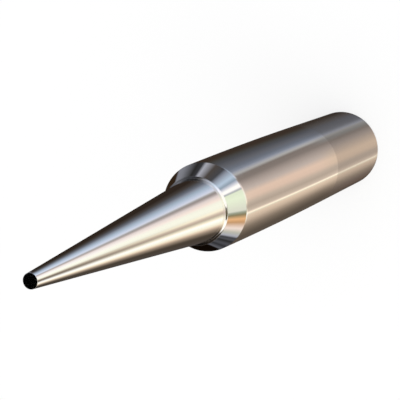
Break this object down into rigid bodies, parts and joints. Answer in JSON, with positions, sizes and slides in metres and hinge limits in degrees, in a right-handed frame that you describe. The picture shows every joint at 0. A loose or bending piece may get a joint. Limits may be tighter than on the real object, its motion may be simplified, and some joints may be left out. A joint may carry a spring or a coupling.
{
  "type": "conical soldering tip",
  "caption": "Plug-in soldering iron tip: a slim cone with a small flat at its end, a bevelled collar edge and a plain round shank that a set screw grips.",
  "frame": {"origin": "centre of the flat rear face, on which the tip stands", "axes": "+Z along the axis, from the rear face towards the working point; the tip is a body of revolution, so +X and +Y are any two directions across the axis"},
  "size_m": [0.0048, 0.0048, 0.04],
  "materials": {
    "plated_metal": "bright nickel plate over iron plate on copper, faintly warm, with a satin rear land"
  },
  "bodies": {
    "root": {"soldering_tip": "plated_metal"}
  },
  "joints": []
}
